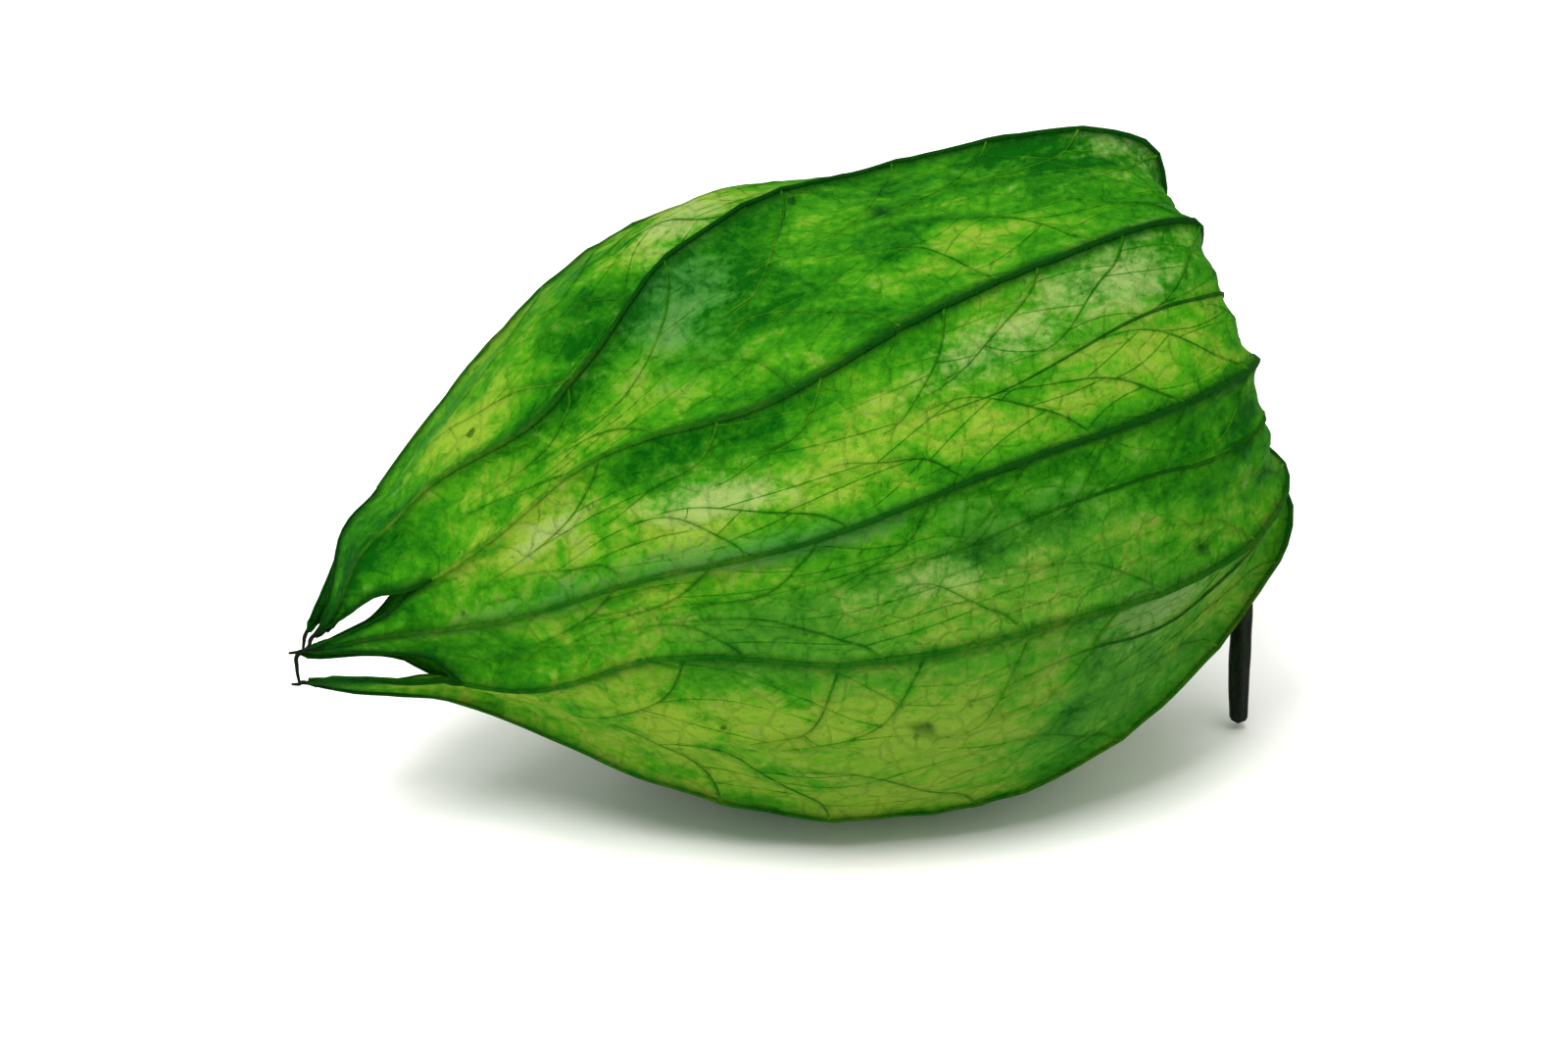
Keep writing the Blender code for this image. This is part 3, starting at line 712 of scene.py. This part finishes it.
HUSK_DEEP = (0.002, 0.115, 0.001, 1.0)
HUSK_MID = (0.036, 0.265, 0.004, 1.0)
HUSK_BRIGHT = (0.082, 0.358, 0.007, 1.0)
HUSK_YELLOW = (0.305, 0.480, 0.036, 1.0)
HUSK_OLIVE = (0.110, 0.250, 0.048, 1.0)
HUSK_BLUISH = (0.070, 0.270, 0.060, 1.0)
HUSK_PALE = (0.430, 0.540, 0.190, 1.0)
HUSK_VEIN = (0.002, 0.055, 0.002, 1.0)
HUSK_THREAD = (0.006, 0.016, 0.005, 1.0)

# The dye's tone runs through these colours. The marks on the skin shift the tone or tint it, and some of
# them shift it as painted fill light or painted shade
DYE_STOPS = ((0.14, HUSK_DEEP), (0.40, HUSK_MID), (0.56, HUSK_BRIGHT), (0.82, HUSK_YELLOW))
MOTTLE_SHARE = 1.10
FINE_SHARE = 0.50
TONE_SHIFTS = (("lighter_dye_and_painted_fill", 0.26), ("darker_dye_and_painted_shade", -0.32), ("to_point", -0.10))
TINTS = (("olive", 0.34, HUSK_OLIVE), ("pale", 0.80, HUSK_PALE), ("bluish", 0.75, HUSK_BLUISH))
SPECK_SHARE = 0.55
FINEST_NET_SIZE = 1.5 * MM
FINEST_NET_SHARE = 0.20
SPOT_GRID = 6.0 * MM
SPOT_SHARE = 0.75
RIB_SHADE_SHARE = 0.85
VEIN_SHADE_SHARE = 0.12
POINT_SHADE_SHARE = 0.8
CRINKLE_DEPTH = 0.28 * MM
THROUGH_LIGHT = 0.52

husk_finish = bpy.data.materials.new("husk_dyed_skin")
husk_finish.use_nodes = True
tree = husk_finish.node_tree
shader = tree.nodes["Principled BSDF"]
output = tree.nodes["Material Output"]
place = add_node(tree, "ShaderNodeTexCoord").outputs["Object"]
dye = add_node(tree, "ShaderNodeGroup", {}, node_tree=dye_group)
tree.links.new(place, dye.inputs["Place"])
dye.inputs["Stretch"].default_value = (0.6, 1.0, 1.0)
blotch, mottle = dye.outputs["Blotch"], dye.outputs["Mottle"]
speck, grain = dye.outputs["Speck"], dye.outputs["Grain"]
fine = noise_node(tree, place, 0.45 * MM, 3.0, 0.6)


def skin_mark(name):
    """A value kept on the skin's points."""
    return add_node(tree, "ShaderNodeAttribute", attribute_name=name).outputs["Fac"]


def less_half(value):
    return math_node(tree, "SUBTRACT", value, 0.5)


def broken(mark, most):
    """A tint's share, whose edge is broken up by the mottles."""
    shaken = math_node(tree, "MULTIPLY_ADD", less_half(mottle), 1.8, mark)
    shaken = math_node(tree, "MULTIPLY_ADD", less_half(fine), 1.2, shaken)
    return fade_node(tree, shaken, 0.20, 1.15, 0.0, most)


tone = math_node(tree, "MULTIPLY_ADD", less_half(mottle), MOTTLE_SHARE, blotch)
tone = math_node(tree, "MULTIPLY_ADD", less_half(fine), FINE_SHARE, tone)
for mark, shift in TONE_SHIFTS:
    tone = math_node(tree, "MULTIPLY_ADD", skin_mark(mark), shift, tone)
ramp = add_node(tree, "ShaderNodeValToRGB", {"Fac": tone})
for stop, (at, colour) in enumerate(DYE_STOPS):
    if stop > 1:
        ramp.color_ramp.elements.new(at)
    ramp.color_ramp.elements[stop].position = at
    ramp.color_ramp.elements[stop].color = colour
colour = ramp.outputs["Color"]
for mark, most, tint in TINTS:
    colour = mix_node(tree, broken(skin_mark(mark), most), colour, tint)
colour = mix_node(tree, math_node(tree, "MULTIPLY", speck, SPECK_SHARE), colour, HUSK_DEEP)

# The finest net and scattered small spots
swirl = add_node(tree, "ShaderNodeTexNoise", {"Vector": place, "Scale": 1 / (1.2 * MM), "Detail": 2.0})
shaken_place = add_node(tree, "ShaderNodeVectorMath",
                        {0: swirl.outputs["Color"], 1: (0.8 * MM,) * 3, 2: place},
                        operation="MULTIPLY_ADD").outputs[0]
net = add_node(tree, "ShaderNodeTexVoronoi",
               {"Vector": shaken_place, "Scale": 1 / FINEST_NET_SIZE, "Randomness": 1.0},
               feature="DISTANCE_TO_EDGE").outputs["Distance"]
net_line = fade_node(tree, net, 0.0, 0.10, 1.0, 0.0)
colour = mix_node(tree, math_node(tree, "MULTIPLY", net_line, FINEST_NET_SHARE), colour, HUSK_DEEP)
spots = add_node(tree, "ShaderNodeTexVoronoi",
                 {"Vector": shaken_place, "Scale": 1 / SPOT_GRID, "Randomness": 1.0}).outputs["Distance"]
colour = mix_node(tree, fade_node(tree, spots, 0.035, 0.055, SPOT_SHARE, 0.0), colour, HUSK_VEIN)

# The dark cords and the dye that gathers beside them, at the slits' edges and at the points
cord = skin_mark("cord")
skin_only = fade_node(tree, cord, 0.0, 0.05, 1.0, 0.0)
beside_rib = math_node(tree, "MULTIPLY", skin_mark("rib_shade"), RIB_SHADE_SHARE)
beside_vein = fade_node(tree, skin_mark("beside_vein"), 0.0, 0.40, VEIN_SHADE_SHARE, 0.0)
beside_cord = math_node(tree, "MAXIMUM", beside_rib, beside_vein)
line = math_node(tree, "MULTIPLY", beside_cord, skin_only)
at_point = fade_node(tree, skin_mark("to_point"), 0.93, 1.0, 0.0, POINT_SHADE_SHARE)
line = math_node(tree, "MAXIMUM", math_node(tree, "MAXIMUM", line, at_point), cord)
line = math_node(tree, "MULTIPLY", line, fade_node(tree, blotch, 0.35, 0.60, 1.0, 0.94))
not_line = math_node(tree, "SUBTRACT", 1.0, line)
line = math_node(tree, "SUBTRACT", 1.0, math_node(tree, "MULTIPLY", not_line, not_line))
colour = mix_node(tree, line, colour, HUSK_VEIN)
colour = mix_node(tree, fade_node(tree, cord, 0.93, 1.0), colour, HUSK_THREAD)
tree.links.new(colour, shader.inputs["Base Color"])

crinkle = noise_node(tree, place, 0.7 * MM, 4.0, 0.6, 0.8)
height = math_node(tree, "MULTIPLY_ADD", net_line, 0.25, crinkle)
height = math_node(tree, "MULTIPLY_ADD", grain, 0.18, height)
relief = add_node(tree, "ShaderNodeBump", {"Strength": 0.9, "Distance": CRINKLE_DEPTH, "Height": height})
tree.links.new(relief.outputs[0], shader.inputs["Normal"])
tree.links.new(fade_node(tree, mottle, 0.3, 0.7, 0.50, 0.66), shader.inputs["Roughness"])
shader.inputs["Specular IOR Level"].default_value = 0.04

# Light comes through the thin wall, and passes two of its faces, so each takes half of the colour
half_way = add_node(tree, "ShaderNodeGamma", {"Color": colour, "Gamma": 0.5}).outputs[0]
lit_through = add_node(tree, "ShaderNodeBsdfTranslucent",
                       {"Color": half_way, "Normal": relief.outputs[0]})
both = add_node(tree, "ShaderNodeMixShader",
                {0: THROUGH_LIGHT, 1: shader.outputs[0], 2: lit_through.outputs[0]})
tree.links.new(both.outputs[0], output.inputs["Surface"])
husk.data.materials.clear()
husk.data.materials.append(husk_finish)
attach(husk, "root")
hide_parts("husk")

# The stalk: the dried flower stalk, a thin ridged stem that flares into the husk's seat, bends over
# the shoulder and hangs to the surface. A grid is rolled round its route.
STALK_RADIUS = 0.54 * MM
STALK_SEAT_RADIUS = 1.0 * MM
STALK_CUT_RADIUS = 0.42 * MM
STALK_SIDES = 28
STALK_ROWS = 180
STALK_RIDGES = 6
STALK_RIDGE_SHARE = 0.07
STALK_RIDGE_TWIST = 0.25 / MM
STALK_ROUGH_SHARE = 0.10
STALK_ROUTE_STEPS = 20
STALK_DARK = (0.002, 0.005, 0.002, 1.0)
STALK_LIGHT = (0.008, 0.018, 0.005, 1.0)

seat = skin_point(0.0, 0.0) + seat_shift
foot = Vector((1.6, -1.8, 0.15)) * MM + Vector((seat_shift.x, seat_shift.y, 0.0))
stalk_route = (
    (seat - AXIS * 0.05 * MM, STALK_SEAT_RADIUS),
    (seat - AXIS * 0.9 * MM, STALK_RADIUS * 1.25),
    (seat - AXIS * 3.5 * MM, STALK_RADIUS),
    (seat_shift + Vector((0.4, 0.9, -0.6)) * MM, STALK_RADIUS),
    (seat_shift + Vector((2.2, 2.2, -1.5)) * MM, STALK_RADIUS),
    (seat_shift + Vector((3.0, 3.0, -3.8)) * MM, STALK_RADIUS),
    (seat_shift + Vector((3.1, 3.1, -7.0)) * MM, STALK_RADIUS),
    (seat_shift + Vector((3.1, 2.5, -10.5)) * MM, STALK_RADIUS),
    (foot + Vector((0.9, 2.2, 5.4)) * MM, STALK_RADIUS),
    (foot + Vector((0.3, 0.8, 2.4)) * MM, STALK_RADIUS * 0.95),
    (foot, STALK_CUT_RADIUS),
)
stalk_line = spline_through([point for point, _ in stalk_route], STALK_ROUTE_STEPS)
stalk_radii = spline_through([Vector((radius, 0.0)) for _, radius in stalk_route], STALK_ROUTE_STEPS)
stalk_length = [0.0]
for start, end in zip(stalk_line, stalk_line[1:]):
    stalk_length.append(stalk_length[-1] + (end - start).length)


def along_stalk(distance):
    """(middle, direction, radius) after this distance from the seat."""
    i = min(max(bisect.bisect_right(stalk_length, distance) - 1, 0), len(stalk_line) - 2)
    share = (distance - stalk_length[i]) / (stalk_length[i + 1] - stalk_length[i])
    start, end = stalk_line[i], stalk_line[i + 1]
    radius = stalk_radii[i].lerp(stalk_radii[i + 1], share).x
    return start.lerp(end, share), (end - start).normalized(), radius


bpy.ops.mesh.primitive_grid_add(x_subdivisions=STALK_SIDES, y_subdivisions=STALK_ROWS, size=2)
stalk = bpy.context.object
stalk.name = "stalk_stem"
side_way = Vector((0.0, 1.0, 0.0))
rings = []
for row in range(STALK_ROWS + 1):
    distance = stalk_length[-1] * row / STALK_ROWS
    middle, way, radius = along_stalk(distance)
    side_way = (side_way - way * side_way.dot(way)).normalized()
    to_end = stalk_length[-1] - distance
    if to_end < radius:
        radius *= math.sqrt(max(0.0, 1 - (1 - to_end / radius) ** 2))
    rings.append((middle, side_way.copy(), way.cross(side_way), radius, distance))
for vertex in stalk.data.vertices:
    column = round((vertex.co.x + 1) / 2 * STALK_SIDES) % STALK_SIDES
    row = round((vertex.co.y + 1) / 2 * STALK_ROWS)
    middle, across, over, radius, distance = rings[row]
    angle = 2 * math.pi * column / STALK_SIDES
    ridge = STALK_RIDGE_SHARE * math.cos(STALK_RIDGES * angle + STALK_RIDGE_TWIST * distance)
    here = Vector((math.cos(angle), math.sin(angle), distance / (2.0 * MM)))
    radius *= 1 + ridge + STALK_ROUGH_SHARE * noise.noise(here * 1.3)
    vertex.co = middle + across * (radius * math.cos(angle)) + over * (radius * math.sin(angle))
    vertex.co.z = max(vertex.co.z, 0.0)
bpy.ops.object.mode_set(mode="EDIT")
bpy.ops.mesh.select_all(action="SELECT")
bpy.ops.mesh.remove_doubles(threshold=0.004 * MM)
bpy.ops.mesh.fill_holes(sides=STALK_SIDES + 2)
bpy.ops.mesh.normals_make_consistent(inside=False)
bpy.ops.object.mode_set(mode="OBJECT")
bpy.ops.object.shade_smooth()

stalk_finish = bpy.data.materials.new("stalk_dark_stem")
stalk_finish.use_nodes = True
tree = stalk_finish.node_tree
shader = tree.nodes["Principled BSDF"]
place = add_node(tree, "ShaderNodeTexCoord").outputs["Object"]
dye = add_node(tree, "ShaderNodeGroup", {}, node_tree=dye_group)
tree.links.new(place, dye.inputs["Place"])
dye.inputs["Stretch"].default_value = (2.0, 2.0, 0.7)
lighter = fade_node(tree, dye.outputs["Mottle"], 0.42, 0.66)
tree.links.new(mix_node(tree, lighter, STALK_DARK, STALK_LIGHT), shader.inputs["Base Color"])
height = math_node(tree, "ADD", dye.outputs["Mottle"], dye.outputs["Grain"])
relief = add_node(tree, "ShaderNodeBump", {"Strength": 0.6, "Distance": 0.10 * MM, "Height": height})
tree.links.new(relief.outputs[0], shader.inputs["Normal"])
tree.links.new(fade_node(tree, dye.outputs["Mottle"], 0.3, 0.7, 0.5, 0.75), shader.inputs["Roughness"])
shader.inputs["Specular IOR Level"].default_value = 0.12
stalk.data.materials.append(stalk_finish)
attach(stalk, "root")
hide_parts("stalk")
bpy.ops.object.select_all(action="DESELECT")

# The surface that the husk lies on: a plain, nearly white studio floor.
FLOOR_WHITE = (0.90, 0.90, 0.895, 1.0)
FLOOR_WARM_WHITE = (0.92, 0.915, 0.905, 1.0)
bpy.ops.mesh.primitive_circle_add(vertices=96, radius=3.0, fill_type="NGON", location=(0, 0, 0))
floor = bpy.context.object
floor.name = "studio_floor"
floor_finish = bpy.data.materials.new("studio_white")
floor_finish.use_nodes = True
tree = floor_finish.node_tree
shader = tree.nodes["Principled BSDF"]
place = add_node(tree, "ShaderNodeTexCoord").outputs["Object"]
cloudy = noise_node(tree, place, 60.0 * MM, 2.0)
floor_colour = mix_node(tree, fade_node(tree, cloudy, 0.3, 0.7), FLOOR_WHITE, FLOOR_WARM_WHITE)
tree.links.new(floor_colour, shader.inputs["Base Color"])
shader.inputs["Roughness"].default_value = 0.7
floor.data.materials.append(floor_finish)

# The light: a wide soft box high at the front left, a weaker one overhead, and white all round.
WORLD_WHITE = (1.0, 0.99, 0.97, 1.0)
WORLD_STRENGTH = 0.80
LAMPS_AIM = Vector((0, 0, 0.015))
world = bpy.data.worlds.new("white_studio")
world.use_nodes = True
world.node_tree.nodes["Background"].inputs["Color"].default_value = WORLD_WHITE
world.node_tree.nodes["Background"].inputs["Strength"].default_value = WORLD_STRENGTH
bpy.context.scene.world = world


def add_soft_box(name, place, size, power, colour):
    """A round soft light that faces the husk."""
    bpy.ops.object.light_add(type="AREA", location=place)
    lamp = bpy.context.object
    lamp.name = name
    lamp.data.shape = "DISK"
    lamp.data.size = size
    lamp.data.energy = power
    lamp.data.color = colour
    lamp.rotation_euler = (LAMPS_AIM - Vector(place)).to_track_quat("-Z", "Y").to_euler()
    lamp.visible_camera = False


add_soft_box("key_box", (-0.28, -0.34, 0.66), 0.36, 7.0, (1.0, 0.99, 0.97))
add_soft_box("overhead_box", (0.10, 0.16, 0.66), 0.50, 2.3, (1.0, 0.99, 0.96))

# The camera stands where the photographer's did, and frames the husk.
CAMERA_TURN = math.radians(-18.0)
CAMERA_RISE = math.radians(27.0)
CAMERA_DISTANCE = 0.9
FRAME_WIDTH = 75.0 * MM
CAMERA_AIM = Vector((-0.2, 0.0, 13.8)) * MM
back = Vector((
    math.sin(CAMERA_TURN) * math.cos(CAMERA_RISE),
    -math.cos(CAMERA_TURN) * math.cos(CAMERA_RISE),
    math.sin(CAMERA_RISE),
))
camera_data = bpy.data.cameras.new("camera")
camera_data.sensor_width = 36.0
camera_data.lens = camera_data.sensor_width * CAMERA_DISTANCE / FRAME_WIDTH
camera_data.clip_start = 0.05
camera_data.clip_end = 20.0
camera = bpy.data.objects.new("camera", camera_data)
camera.location = CAMERA_AIM + back * CAMERA_DISTANCE
camera.rotation_euler = back.to_track_quat("Z", "Y").to_euler()
bpy.context.collection.objects.link(camera)
bpy.context.scene.camera = camera
bpy.context.scene.view_settings.view_transform = "Standard"
